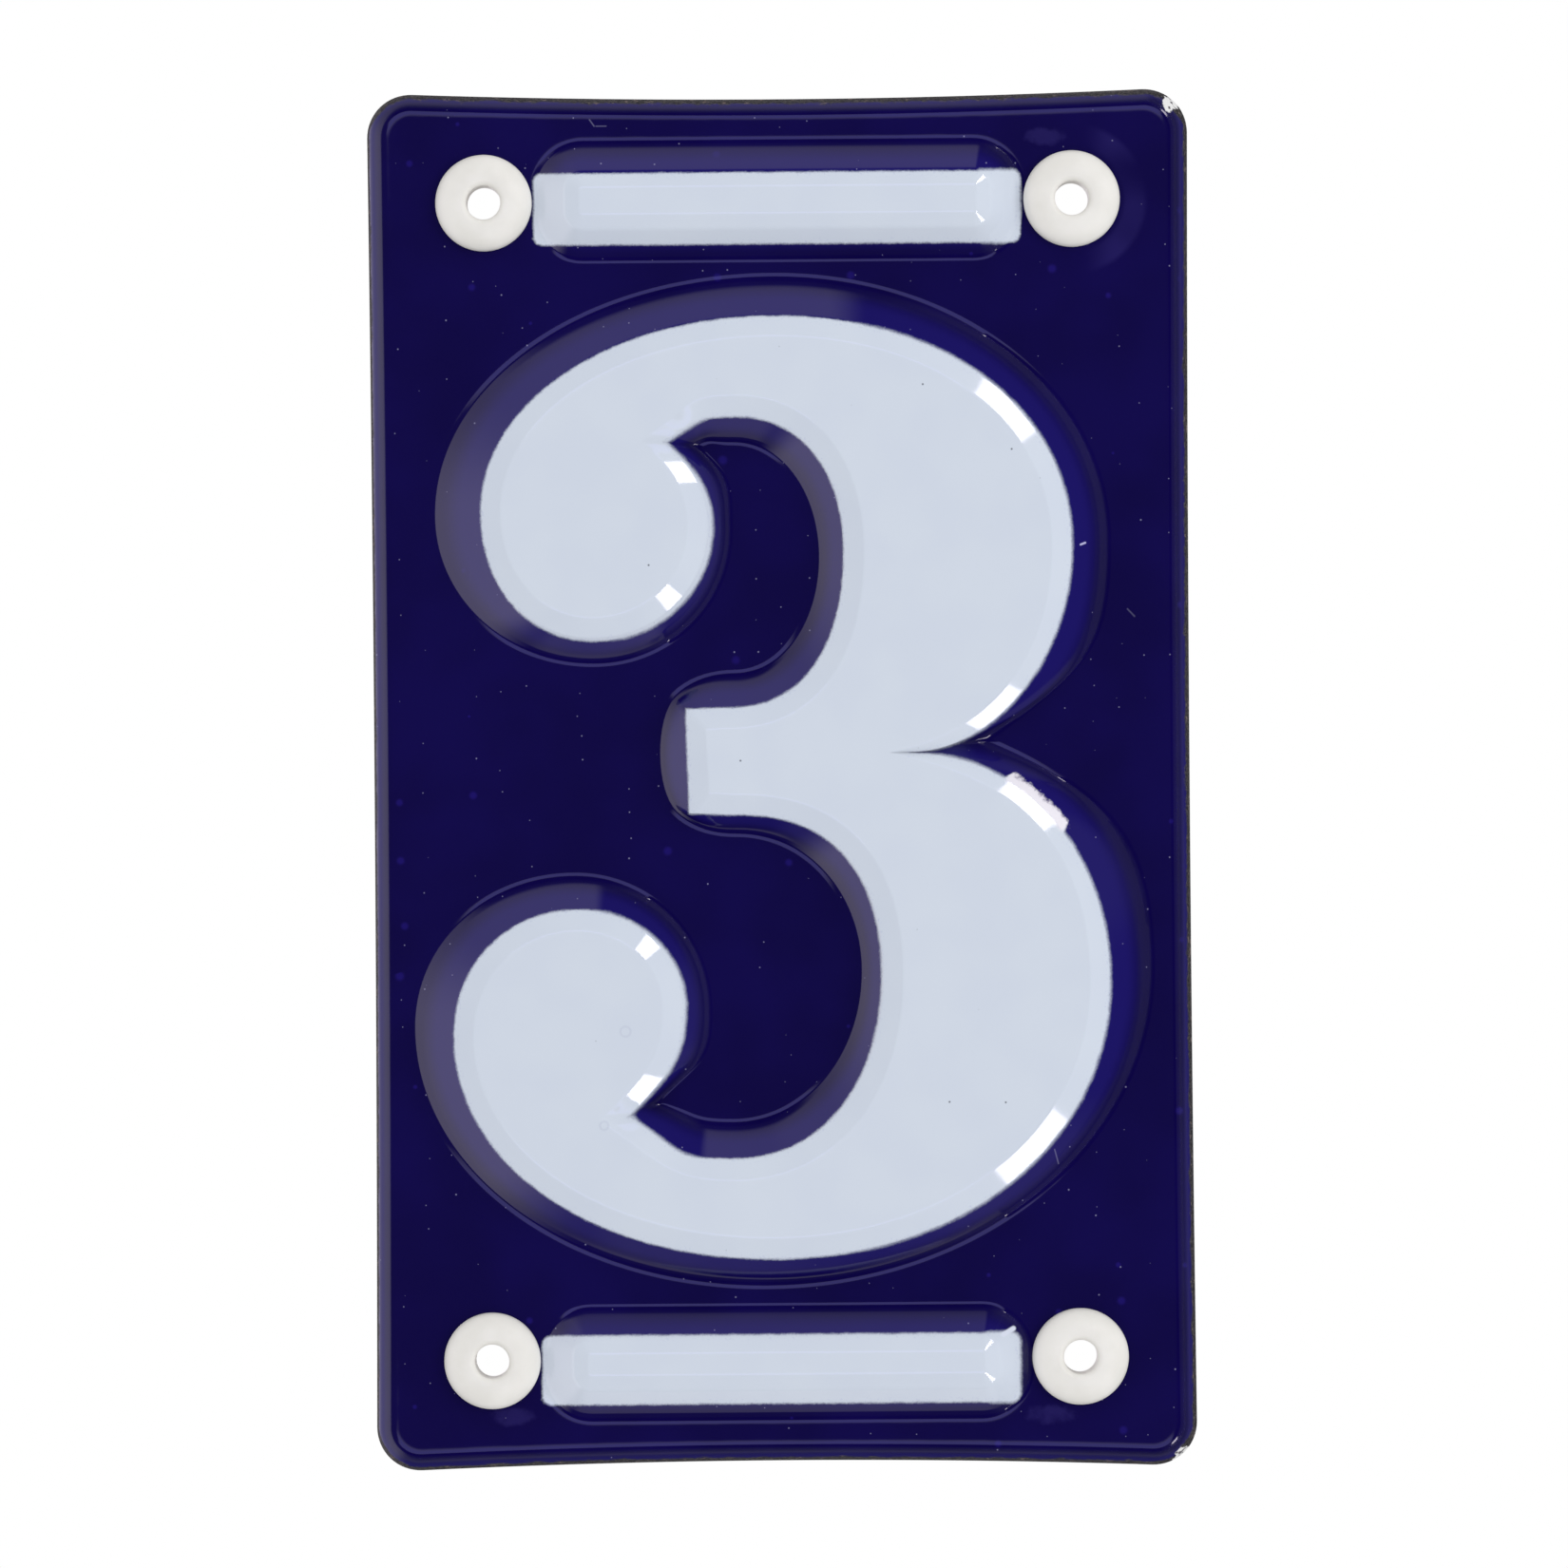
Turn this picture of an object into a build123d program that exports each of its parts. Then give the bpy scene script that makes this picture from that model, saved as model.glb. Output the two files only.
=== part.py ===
from build123d import *
from math import atan2, cos, radians, sin, tan
import os

# House number plaque: a pressed and enamelled steel sheet, with a plastic grommet in each corner hole.
# Millimetres. The wall is the plane Y = 0, the front looks along -Y, +Z is up, and the origin is the
# middle of the four screw holes on the wall. A depth is measured from the wall towards the viewer.

# Sheet, measured over its enamel
PLATE_WIDTH = 89.6
PLATE_HEIGHT = 150.6
PLATE_CORNER_RADIUS = 5.0
END_DRAW_IN = 1.0
SIDE_DRAW_IN = 0.3
SHEET_THICKNESS = 1.2
RIM_DEPTH = 3.0
RIM_INNER_RADIUS = 1.0

# Screw holes, from the plate's corners, and the grommets in them
HOLE_INSET_X = 12.8
HOLE_INSET_Z = 12.3
SCREW_BORE_DIAMETER = 3.7
GROMMET_NECK_DIAMETER = 6.0
GROMMET_NECK_CLEARANCE = 0.1
GROMMET_FLANGE_DIAMETER = 10.5
GROMMET_FLANGE_EDGE = 0.45
GROMMET_DOME_HEIGHT = 1.55
GROMMET_LIP_RADIUS = 0.6
GROMMET_BACK_DIAMETER = 8.4

# Pressed bars: size at the foot, and each slope's run seen from the front and its rise
BAR_INSET = 11.9
BAR_HEIGHT = 12.5
BAR_END_RADIUS = 5.4
BAR_END_CLEARANCE = 0.15
BAR_FOOT_RUN = 0.7
BAR_FOOT_RISE = 0.25
BAR_WALL_RUN = 2.9
BAR_WALL_RISE = 1.85
BAR_BEVEL_RUN = 1.3
BAR_BEVEL_RISE = 0.4

# Pressed numeral: its margins and slopes
NUMERAL_SIDE_MARGIN = 4.55
NUMERAL_BAR_GAP = 2.225
FOOT_SPREAD = 3.4
FOOT_RUN = 1.1
FOOT_RISE = 0.35
WALL_RUN = 3.5
WALL_RISE = 2.05
BEVEL_RUN = 3.0
BEVEL_RISE = 0.8

# Headings along the numeral's outline, which lies to their left
RIGHT = Vector(1, 0)
UP = Vector(0, 1)
LEFT = Vector(-1, 0)
DOWN = Vector(0, -1)

# Points where the drawn outline runs level or upright: X, Z and heading
UPPER_BOWL = [
    (32.3, 26.0, UP),
    (-0.7, 51.4, LEFT),
    (-34.4, 29.0, DOWN),
    (-20.3, 16.1, RIGHT),
    (-8.8, 27.3, UP),
]
COUNTERS_AND_ARM = [
    (-5.0, 40.05, RIGHT),
    (7.35, 24.3, DOWN),
    (-5.05, 8.3, LEFT),
    (-10.4, 2.9, DOWN),
    (-5.05, -2.5, RIGHT),
    (11.65, -20.7, DOWN),
    (-5.5, -40.5, LEFT),
]
LOWER_BOWL = [
    (-11.4, -25.0, UP),
    (-22.7, -13.6, LEFT),
    (-37.0, -26.7, DOWN),
    (-2.0, -51.65, RIGHT),
    (36.7, -20.5, UP),
]
# Notches: place, travel for each millimetre of spread outwards and inwards, and headings in and out in
# degrees from RIGHT towards UP, each with its turn for each millimetre of spread outwards
WAIST = (14.6, 3.5), (2.3, 0.2), (1.0, 0.0), (168.0, -3.5), (10.0, 7.5)
UPPER_NOTCH = (-13.5, 37.5), (1.35, -0.35), (1.0, -0.1), (136.0, 0.0), (43.0, -4.0)
LOWER_NOTCH = (-17.7, -35.9), (1.1, 0.25), (1.0, 0.3), (150.0, 4.0), (45.0, 0.0)
CURVE_FULLNESS = 0.56

# Sizes that follow from those above
FIELD_BACK = RIM_DEPTH - SHEET_THICKNESS
RIM_OUTER_RADIUS = RIM_INNER_RADIUS + SHEET_THICKNESS
HOLE_X = PLATE_WIDTH / 2 - HOLE_INSET_X
HOLE_Z = PLATE_HEIGHT / 2 - HOLE_INSET_Z
HOLE_RADIUS = GROMMET_NECK_DIAMETER / 2 + GROMMET_NECK_CLEARANCE
BAR_Z = PLATE_HEIGHT / 2 - BAR_INSET
BAR_LENGTH = 2 * HOLE_X - GROMMET_FLANGE_DIAMETER - 2 * BAR_END_CLEARANCE
NUMERAL_WIDTH = PLATE_WIDTH - 2 * (NUMERAL_SIDE_MARGIN + FOOT_SPREAD)
NUMERAL_HEIGHT = 2 * BAR_Z - BAR_HEIGHT - 2 * (NUMERAL_BAR_GAP + FOOT_SPREAD)
drawn_x = [x for x, z, heading in UPPER_BOWL + LOWER_BOWL]
drawn_z = [z for x, z, heading in UPPER_BOWL + LOWER_BOWL]
SCALE_X = NUMERAL_WIDTH / (max(drawn_x) - min(drawn_x))
SCALE_Z = NUMERAL_HEIGHT / (max(drawn_z) - min(drawn_z))


def facing_plane(depth, z=0):
    """A plane that faces the viewer, at a depth from the wall and a height above the middle."""
    return Plane(origin=(0, -depth, z), x_dir=(1, 0, 0), z_dir=(0, -1, 0))


def plate_outline(inset):
    """The sheet's edges before its corners are rounded, drawn inwards as the relief was pressed."""
    x = PLATE_WIDTH / 2 - inset
    z = PLATE_HEIGHT / 2 - inset
    with BuildLine() as outline:
        ThreePointArc((-x, z), (0, z - END_DRAW_IN), (x, z))
        ThreePointArc((x, z), (x - SIDE_DRAW_IN, 0), (x, -z))
        ThreePointArc((x, -z), (0, END_DRAW_IN - z), (-x, -z))
        ThreePointArc((-x, -z), (SIDE_DRAW_IN - x, 0), (-x, z))
    return outline.edges()


def real_point(x, z):
    """A point of the drawn numeral at the size that the plate gives it."""
    return Vector(x * SCALE_X, z * SCALE_Z)


def spread_point(node, spread):
    """A level or upright point, moved outwards: its place, heading in and heading out."""
    x, z, heading = node
    outwards = Vector(heading.Y, -heading.X)
    return real_point(x, z) + outwards * spread, heading, heading


def spread_notch(notch, spread):
    """A notch, moved along its bisector: its place, heading in and heading out."""
    place, out_travel, in_travel, arrive, leave = notch
    travel = Vector(*out_travel) if spread > 0 else Vector(*in_travel)
    angles = [radians(start + turn * max(spread, 0)) for start, turn in (arrive, leave)]
    heading_in, heading_out = [Vector(cos(angle), sin(angle)) for angle in angles]
    return real_point(*place) + travel * spread, heading_in, heading_out


def numeral_section(spread, depth):
    """The numeral's outline, spread outwards, as a face at a depth: one curve from each point to the next."""
    chain = [spread_notch(WAIST, spread)]
    chain += [spread_point(node, spread) for node in UPPER_BOWL]
    chain += [spread_notch(UPPER_NOTCH, spread)]
    chain += [spread_point(node, spread) for node in COUNTERS_AND_ARM]
    chain += [spread_notch(LOWER_NOTCH, spread)]
    chain += [spread_point(node, spread) for node in LOWER_BOWL]
    curves = []
    with BuildLine():
        for (start, _, leave), (end, arrive, _) in zip(chain, chain[1:] + chain[:1]):
            first_handle = start + leave * (CURVE_FULLNESS * abs((end - start).dot(leave)))
            last_handle = end - arrive * (CURVE_FULLNESS * abs((end - start).dot(arrive)))
            curves.append(Bezier(start, first_handle, last_handle, end))
    return facing_plane(depth) * Face(Wire(curves))


def slope_sections(slopes):
    """Spread and rise of each crease from the foot inwards. The first lies as far below the field."""
    (foot_run, foot_rise), *upper = slopes
    sections = [(foot_run, -foot_rise), (-foot_run, foot_rise)]
    for run, rise in upper:
        spread, height = sections[-1]
        sections.append((spread - run, height + rise))
    return sections


def hollow_inset(run, rise):
    """How far the sheet's back lies inside its front on a slope, for an even thickness."""
    return SHEET_THICKNESS * tan(atan2(rise, run) / 2)


numeral_sections = slope_sections([(FOOT_RUN, FOOT_RISE), (WALL_RUN, WALL_RISE), (BEVEL_RUN, BEVEL_RISE)])
numeral_inset = hollow_inset(WALL_RUN, WALL_RISE)
bar_sections = slope_sections(
    [(BAR_FOOT_RUN, BAR_FOOT_RISE), (BAR_WALL_RUN, BAR_WALL_RISE), (BAR_BEVEL_RUN, BAR_BEVEL_RISE)]
)
bar_inset = hollow_inset(BAR_WALL_RUN, BAR_WALL_RISE)

os.makedirs("parts", exist_ok=True)

# The sheet: a shallow pan with a turned-back rim, then the reliefs, then the holes
with BuildPart() as plaque:
    with BuildSketch(facing_plane(0)) as blank:
        make_face(plate_outline(0))
        fillet(blank.vertices(), PLATE_CORNER_RADIUS)
    extrude(amount=RIM_DEPTH)
    fillet(plaque.faces().sort_by(Axis.Y)[0].edges(), RIM_OUTER_RADIUS)
    with BuildSketch(facing_plane(0)) as inside:
        make_face(plate_outline(SHEET_THICKNESS))
        fillet(inside.vertices(), PLATE_CORNER_RADIUS - SHEET_THICKNESS)
    extrude(amount=FIELD_BACK, mode=Mode.SUBTRACT)
    fillet(plaque.faces().filter_by(Axis.Y).sort_by(Axis.Y)[1].edges(), RIM_INNER_RADIUS)

    for field, inset, mode in ((RIM_DEPTH, 0, Mode.ADD), (FIELD_BACK, numeral_inset, Mode.SUBTRACT)):
        loft(
            [numeral_section(FOOT_SPREAD + spread - inset, field + rise) for spread, rise in numeral_sections],
            ruled=True,
            mode=mode,
        )

    for bar_z in (BAR_Z, -BAR_Z):
        for field, inset, mode in ((RIM_DEPTH, 0, Mode.ADD), (FIELD_BACK, bar_inset, Mode.SUBTRACT)):
            for spread, rise in bar_sections:
                grow = spread - inset
                with BuildSketch(facing_plane(field + rise, bar_z)):
                    RectangleRounded(BAR_LENGTH + 2 * grow, BAR_HEIGHT + 2 * grow, BAR_END_RADIUS + grow)
            loft(ruled=True, mode=mode)

    with BuildSketch(facing_plane(0)):
        with GridLocations(2 * HOLE_X, 2 * HOLE_Z, 2, 2):
            Circle(HOLE_RADIUS)
    extrude(amount=RIM_DEPTH, mode=Mode.SUBTRACT)
plaque.part.label = "plaque"
export_step(plaque.part, "parts/plaque.step")

# The grommets: a domed flange on the field, a neck in the hole and a back flange that meets the wall
for name, side, end in (
    ("top_left_grommet", -1, 1),
    ("top_right_grommet", 1, 1),
    ("bottom_left_grommet", -1, -1),
    ("bottom_right_grommet", 1, -1),
):
    centre = Vector(side * HOLE_X, 0, end * HOLE_Z)
    bore = SCREW_BORE_DIAMETER / 2
    neck = GROMMET_NECK_DIAMETER / 2
    flange = GROMMET_FLANGE_DIAMETER / 2
    back = GROMMET_BACK_DIAMETER / 2
    crown = bore + GROMMET_LIP_RADIUS
    edge = RIM_DEPTH + GROMMET_FLANGE_EDGE
    top = edge + GROMMET_DOME_HEIGHT
    with BuildPart() as grommet:
        with BuildSketch(Plane(origin=centre, x_dir=(1, 0, 0), z_dir=(0, 0, -1))):
            with BuildLine():
                Polyline(
                    (bore, top - GROMMET_LIP_RADIUS),
                    (bore, 0),
                    (back, 0),
                    (back, FIELD_BACK),
                    (neck, FIELD_BACK),
                    (neck, RIM_DEPTH),
                    (flange, RIM_DEPTH),
                    (flange, edge),
                )
                EllipticalCenterArc((crown, edge), flange - crown, GROMMET_DOME_HEIGHT)
                TangentArc((crown, top), (bore, top - GROMMET_LIP_RADIUS), tangent=LEFT)
            make_face()
        revolve(axis=Axis(centre, (0, 1, 0)))
    grommet.part.label = name
    export_step(grommet.part, f"parts/{name}.step")
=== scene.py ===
# %% [markdown]
# # A house number plaque in blue and white enamel
# The real plaque is one thin steel sheet. A press raised a fat numeral and two bars out of it and turned
# its edge back, and then glass enamel was fused on: a dark ground coat, white, and blue over the field.
# Four white plastic grommets fill the screw holes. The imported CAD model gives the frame: metres, the wall
# at Y = 0, the front towards -Y and +Z up. The lesson remakes each piece in that frame, with softer
# creases and a real finish.

# %% Load the frame
import math

import bmesh
import bpy
import numpy as np
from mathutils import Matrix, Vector, kdtree
from mathutils.geometry import interpolate_bezier


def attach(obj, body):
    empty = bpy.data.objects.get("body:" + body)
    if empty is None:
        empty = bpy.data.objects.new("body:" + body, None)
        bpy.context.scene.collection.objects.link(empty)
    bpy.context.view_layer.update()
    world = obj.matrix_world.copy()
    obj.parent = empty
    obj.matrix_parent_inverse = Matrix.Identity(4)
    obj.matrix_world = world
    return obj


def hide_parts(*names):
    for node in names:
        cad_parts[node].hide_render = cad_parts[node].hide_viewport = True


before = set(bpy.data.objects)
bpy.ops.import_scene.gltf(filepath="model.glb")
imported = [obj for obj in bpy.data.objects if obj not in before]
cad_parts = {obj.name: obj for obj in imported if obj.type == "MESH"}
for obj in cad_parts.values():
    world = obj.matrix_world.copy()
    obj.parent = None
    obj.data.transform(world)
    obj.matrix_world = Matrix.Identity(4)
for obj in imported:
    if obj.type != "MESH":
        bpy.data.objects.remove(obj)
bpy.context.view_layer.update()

# %% [markdown]
# ## The numeral's two outlines
# The press tool was drawn with a few smooth sweeps. The same sweeps make two outlines here: the foot, where
# the slope leaves the field, and the edge, where it meets the top and where the white stops. Each is a list
# of points with the headings in and out, joined by Bezier curves. A curve object could be drawn by hand,
# but insetting it would give the same width all round, and on the real pressing the slope is wide at the
# left and narrow inside the bowls. So both outlines have matching points, and every ring of the slope
# lies between them.

# %% List the foot and the edge
MM = 0.001
RIGHT, UP, LEFT, DOWN = 0, 90, 180, 270
# Points with rules of their own: the waist at the right, the two notches and the stub's corners
WAIST, UPPER_NOTCH, STUB_TOP, STUB_END, LOWER_NOTCH = 0, 6, 10, 11, 15
# The foot: X, Z and headings in and out, in degrees from RIGHT towards UP
FOOT = [
    (14.6, 3.5, 168, 10),
    (32.3, 26.0, UP, UP), (-0.7, 51.4, LEFT, LEFT), (-34.4, 29.0, DOWN, DOWN),
    (-20.3, 16.1, RIGHT, RIGHT), (-8.8, 27.3, UP, UP),
    (-13.5, 37.5, 136, 43),
    (-5.0, 40.05, RIGHT, RIGHT), (7.35, 24.3, DOWN, DOWN), (-5.05, 8.3, LEFT, LEFT),
    (-9.3, 6.9, 225, 225), (-9.3, -1.1, 315, 315),
    (-5.05, -2.5, RIGHT, RIGHT), (11.65, -20.7, DOWN, DOWN), (-5.5, -40.5, LEFT, LEFT),
    (-17.7, -35.9, 150, 45),
    (-11.4, -25.0, UP, UP), (-22.7, -13.6, LEFT, LEFT), (-37.0, -26.7, DOWN, DOWN),
    (-2.0, -51.65, RIGHT, RIGHT), (36.7, -20.5, UP, UP),
]
# How full the curve after each point is, with flatter ones round the stub
FOOT_FULLNESS = [0.56] * 9 + [0.375, 0.37, 0.375] + [0.56] * 9
# The edge: the same, and how full the curve after each point is
EDGE = [
    (13.94, 2.85, LEFT, RIGHT, 0.53), (31.74, 25.42, UP, UP, 0.585), (-0.74, 50.51, LEFT, LEFT, 0.56),
    (-32.61, 29.32, DOWN, DOWN, 0.58), (-20.43, 15.19, RIGHT, RIGHT, 0.555), (-7.38, 27.67, UP, UP, 0.42),
    (-12.39, 36.77, 140, 30, 0.6), (-4.71, 39.52, RIGHT, RIGHT, 0.6), (6.86, 24.97, DOWN, DOWN, 0.62),
    (-5.33, 7.91, LEFT, LEFT, 0.5), (-10.45, 7.81, LEFT, DOWN, 0.4), (-10.2, -3.68, DOWN, RIGHT, 0.5),
    (-4.49, -3.84, RIGHT, RIGHT, 0.64), (10.61, -21.13, DOWN, DOWN, 0.59), (-5.3, -41.19, LEFT, LEFT, 0.62),
    (-16.87, -36.51, 146, 45, 0.47), (-10.67, -24.67, UP, UP, 0.55), (-22.31, -13.95, LEFT, LEFT, 0.575),
    (-35.96, -27.77, DOWN, DOWN, 0.57), (-1.14, -52.21, RIGHT, RIGHT, 0.575), (35.54, -21.98, UP, UP, 0.565),
]
EDGE_FULLNESS = [full for *_, full in EDGE]
# The crease runs straighter than the white into the lower notch
CREASE_FULLNESS = list(EDGE_FULLNESS)
CREASE_FULLNESS[LOWER_NOTCH - 1] = 0.5
# How far the crease lies inside the white at each point
CREASE_SET_IN = [0.1] * 4 + [0.4, 0.5, 0.3] + [0.1] * 6 + [0.25, 0.1, 0.2, 0.3] + [0.1] * 2 + [0.3, 0.1]
print("outline points: foot", len(FOOT), "edge", len(EDGE))

# %% [markdown]
# ## Growing an outline
# A smooth point of an outline moves straight outwards when the outline grows. A corner can't, because its
# two sides move in different ways, so each corner has a travel of its own. Blender's inset tool gives every
# point one rule and would cross itself in the notches. Moving the few points of a chain and drawing the
# curves afresh keeps every ring clean.

# %% Move the points of a chain
# The foot's corners: travel and turns in and out for each mm that the foot spreads
FOOT_TRAVEL = {
    WAIST: ((2.3, 0.2), -3.5, 7.5),
    UPPER_NOTCH: ((1.35, -0.35), 0.0, -4.0),
    LOWER_NOTCH: ((1.1, 0.25), 4.0, 0.0),
}
# The edge's corners: travel for each mm that the edge grows
EDGE_TRAVEL = {
    WAIST: (1.0, 0.0), UPPER_NOTCH: (1.1, -0.08), STUB_TOP: (-1.0, 1.0), STUB_END: (-1.0, -1.0),
    LOWER_NOTCH: (1.35, 0.15),
}
# Degrees that the edge's waist opens for each mm that it moves inwards
WAIST_TURN = 5


def heading(degrees):
    return Vector((math.cos(math.radians(degrees)), math.sin(math.radians(degrees))))


def outwards(degrees):
    """The outline lies to the left of its heading, so outwards is to the right."""
    return heading(degrees - 90)


def foot_chain(spread):
    """The foot's points at one spread: place, heading in and heading out."""
    chain = []
    for k, (x, z, arrive, leave) in enumerate(FOOT):
        travel, turn_in, turn_out = FOOT_TRAVEL.get(k, (outwards(leave), 0.0, 0.0))
        place = Vector((x, z)) + Vector(travel) * spread
        chain.append((place, heading(arrive + turn_in * spread), heading(leave + turn_out * spread)))
    return chain


def edge_chain(grow, set_in=(0.0,) * len(EDGE)):
    """The edge's points, grown outwards, or inwards where grow is below zero, and each set in by a little."""
    chain = []
    for k, (x, z, arrive, leave, _) in enumerate(EDGE):
        turn = WAIST_TURN * grow if k == WAIST else 0
        place = Vector((x, z)) + Vector(EDGE_TRAVEL.get(k, outwards(leave))) * (grow - set_in[k])
        chain.append((place, heading(arrive + turn), heading(leave - turn)))
    return chain


def between(chain_a, chain_b, share):
    """A chain part of the way from one to the other."""
    return [
        (a[0].lerp(b[0], share), a[1].lerp(b[1], share).normalized(), a[2].lerp(b[2], share).normalized())
        for a, b in zip(chain_a, chain_b)
    ]


print("corners with a travel of their own: foot", len(FOOT_TRAVEL), "edge", len(EDGE_TRAVEL))

# %% Draw the curves of a chain
# Millimetres between the points of a ring, the fewest points on a curve, and the points that measure it
RING_STEP, FEWEST_STEPS, LENGTH_POINTS = 0.62, 8, 24


def chain_curves(chain, fullness):
    """The Bezier curve from each point of a closed chain to the next: four control points each."""
    curves = []
    for (start, _, leave), (end, arrive, _), full in zip(chain, chain[1:] + chain[:1], fullness):
        run = end - start
        first_handle = start + leave * (full * abs(run.dot(leave)))
        last_handle = end - arrive * (full * abs(run.dot(arrive)))
        curves.append((start, first_handle, last_handle, end))
    return curves


def curve_length(curve):
    points = interpolate_bezier(*curve, LENGTH_POINTS)
    return sum((b - a).length for a, b in zip(points, points[1:]))


spread_foot = chain_curves(foot_chain(1.0), FOOT_FULLNESS)
numeral_steps = [max(FEWEST_STEPS, round(curve_length(curve) / RING_STEP)) for curve in spread_foot]
print("numeral ring:", sum(numeral_steps), "points")

# %% Place a ring anywhere on the slope
# Spread of the foot's crease and of the edge's crease
FOOT_AT, EDGE_AT = 2.9, -0.6


def numeral_ring(spread):
    """A ring of points: the foot spreading to FOOT_AT, the slope up to EDGE_AT, then the top's bevel."""
    share = min(max((FOOT_AT - spread) / (FOOT_AT - EDGE_AT), 0), 1)
    foot = foot_chain(max(spread, FOOT_AT))
    edge = edge_chain(min(spread - EDGE_AT, 0), CREASE_SET_IN)
    fullness = [f + (e - f) * share for f, e in zip(FOOT_FULLNESS, CREASE_FULLNESS)]
    ring = []
    for curve, steps in zip(chain_curves(between(foot, edge, share), fullness), numeral_steps):
        ring += interpolate_bezier(*curve, steps + 1)[:-1]
    return ring


half_way = [point.x for point in numeral_ring(1.0)]
print("half way up the slope the numeral is", round(max(half_way) - min(half_way), 1), "mm wide")

# %% [markdown]
# ## The section of a slope
# Enamel runs into every corner of the pressing, so no crease on the real plaque is sharp. A section is a
# line of corners, each cut back and rounded, and long runs get extra points so that the paint line can be
# followed. A Bevel modifier could round the creases as well, but here the roundness is part of the section,
# so the rings can be as close as each crease needs. The same helper serves the numeral and the bars.

# %% Round the corners of a section
LONGEST_RUN, ARC_STEPS = 0.4, 7


def rounded_section(corners, setbacks):
    """Spread and rise along a section whose inner corners are rounded over their setbacks."""
    corners = [Vector(corner) for corner in corners]
    line = [corners[0]]
    for before, corner, after, setback in zip(corners, corners[1:], corners[2:], setbacks):
        start = corner + (before - corner).normalized() * setback
        end = corner + (after - corner).normalized() * setback
        for step in range(ARC_STEPS + 1):
            t = step / ARC_STEPS
            line.append(start * (1 - t) ** 2 + corner * (2 * t * (1 - t)) + end * t**2)
    line.append(corners[-1])
    section = [line[0]]
    for a, b in zip(line, line[1:]):
        parts = max(1, math.ceil((b - a).length / LONGEST_RUN))
        section += [a.lerp(b, (part + 1) / parts) for part in range(parts)]
    return section


# The field's height off the wall, and the tops' heights off the field
FIELD_DEPTH, NUMERAL_TOP, BAR_TOP = 3.0, 3.2, 2.5
numeral_section = rounded_section(
    [(4.35, 0), (FOOT_AT, 0), (EDGE_AT, 2.68), (-2.8, NUMERAL_TOP), (-3.4, NUMERAL_TOP)], [0.9, 0.28, 0.22]
)
bar_section = rounded_section(
    [(0.75, 0), (-0.31, 0), (-3.4, 2.07), (-5.05, BAR_TOP), (-5.33, BAR_TOP)], [0.7, 0.28, 0.2]
)
print("section points: numeral", len(numeral_section), "bar", len(bar_section))

# %% [markdown]
# ## Bars, rim and holes
# The bars and the plate are rectangles with rounded corners. The pressing drew the plate's edges in a
# little, most in the middle of each side. The rim is a quarter round from the field to the cut edge, which
# flares by a hair where the shears left a burr. A bevelled cube would give the rectangles but not the sides
# that are drawn in, so they are rings of points like the numeral's.

# %% Outline the bars and the plate
CORNER_STEPS = 16
BAR_LENGTH, BAR_END_RADIUS, BAR_STEP = 53.2, 5.4, 1.6
PLATE_X, PLATE_Z, PLATE_CORNER, PLATE_STEP = 44.79, 75.29, 5.0, 2.4
END_DRAW_IN, SIDE_DRAW_IN = 1.0, 0.3


def rounded_rectangle(half_x, half_z, radius, step):
    """Points of a rounded rectangle, anticlockwise from the lower right."""
    points = []
    for corner, (sx, sz) in enumerate(((1, -1), (1, 1), (-1, 1), (-1, -1))):
        centre = Vector((sx * (half_x - radius), sz * (half_z - radius)))
        for k in range(CORNER_STEPS + 1):
            angle = math.radians(corner * 90 - 90 + k * 90 / CORNER_STEPS)
            points.append(centre + Vector((math.cos(angle), math.sin(angle))) * radius)
    full = []
    for a, b in zip(points, points[1:] + points[:1]):
        parts = max(1, round((b - a).length / step)) if (b - a).length > 2 * step else 1
        full += [a.lerp(b, part / parts) for part in range(parts)]
    return full


def away_from(core, point):
    """The direction from a rectangle's core, given by its half sizes, to a point of its outline."""
    nearest = Vector((max(-core.x, min(core.x, point.x)), max(-core.y, min(core.y, point.y))))
    return (point - nearest).normalized()


def bar_ring(grow, bar_z, height):
    """A bar's foot grown outwards, point for point."""
    core = Vector((BAR_LENGTH / 2 - BAR_END_RADIUS, height / 2 - BAR_END_RADIUS))
    outline = rounded_rectangle(BAR_LENGTH / 2, height / 2, BAR_END_RADIUS, BAR_STEP)
    return [point + away_from(core, point) * grow + Vector((0, bar_z)) for point in outline]


def plate_ring(inset):
    """The plate's edge moved inwards, with its sides drawn in."""
    core = Vector((PLATE_X - PLATE_CORNER, PLATE_Z - PLATE_CORNER))
    ring = []
    for point in rounded_rectangle(PLATE_X, PLATE_Z, PLATE_CORNER, PLATE_STEP):
        x, z = point - away_from(core, point) * inset
        z -= math.copysign(END_DRAW_IN * max(0, 1 - (x / PLATE_X) ** 2), z)
        x -= math.copysign(SIDE_DRAW_IN * max(0, 1 - (z / PLATE_Z) ** 2), x)
        ring.append(Vector((x, z)))
    return ring


print("points on the plate's edge:", len(plate_ring(0)))

# %% Draw the rim's section
RIM_RADIUS, RIM_STEPS, LIP_FLARE = 2.2, 16, 0.2
# Inset and depth, from the field to the cut edge
rim_section = [(2.75, FIELD_DEPTH)]
for step in range(RIM_STEPS + 1):
    angle = math.radians(step * 90 / RIM_STEPS)
    rim_section.append((
        RIM_RADIUS - (RIM_RADIUS - LIP_FLARE) * math.sin(angle),
        FIELD_DEPTH - RIM_RADIUS * (1 - math.cos(angle)),
    ))
rim_section += [(0.16, 0.55), (0.06, 0.3), (0.0, 0.14), (0.0, 0.0)]
print("rim section:", len(rim_section), "points")

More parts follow.
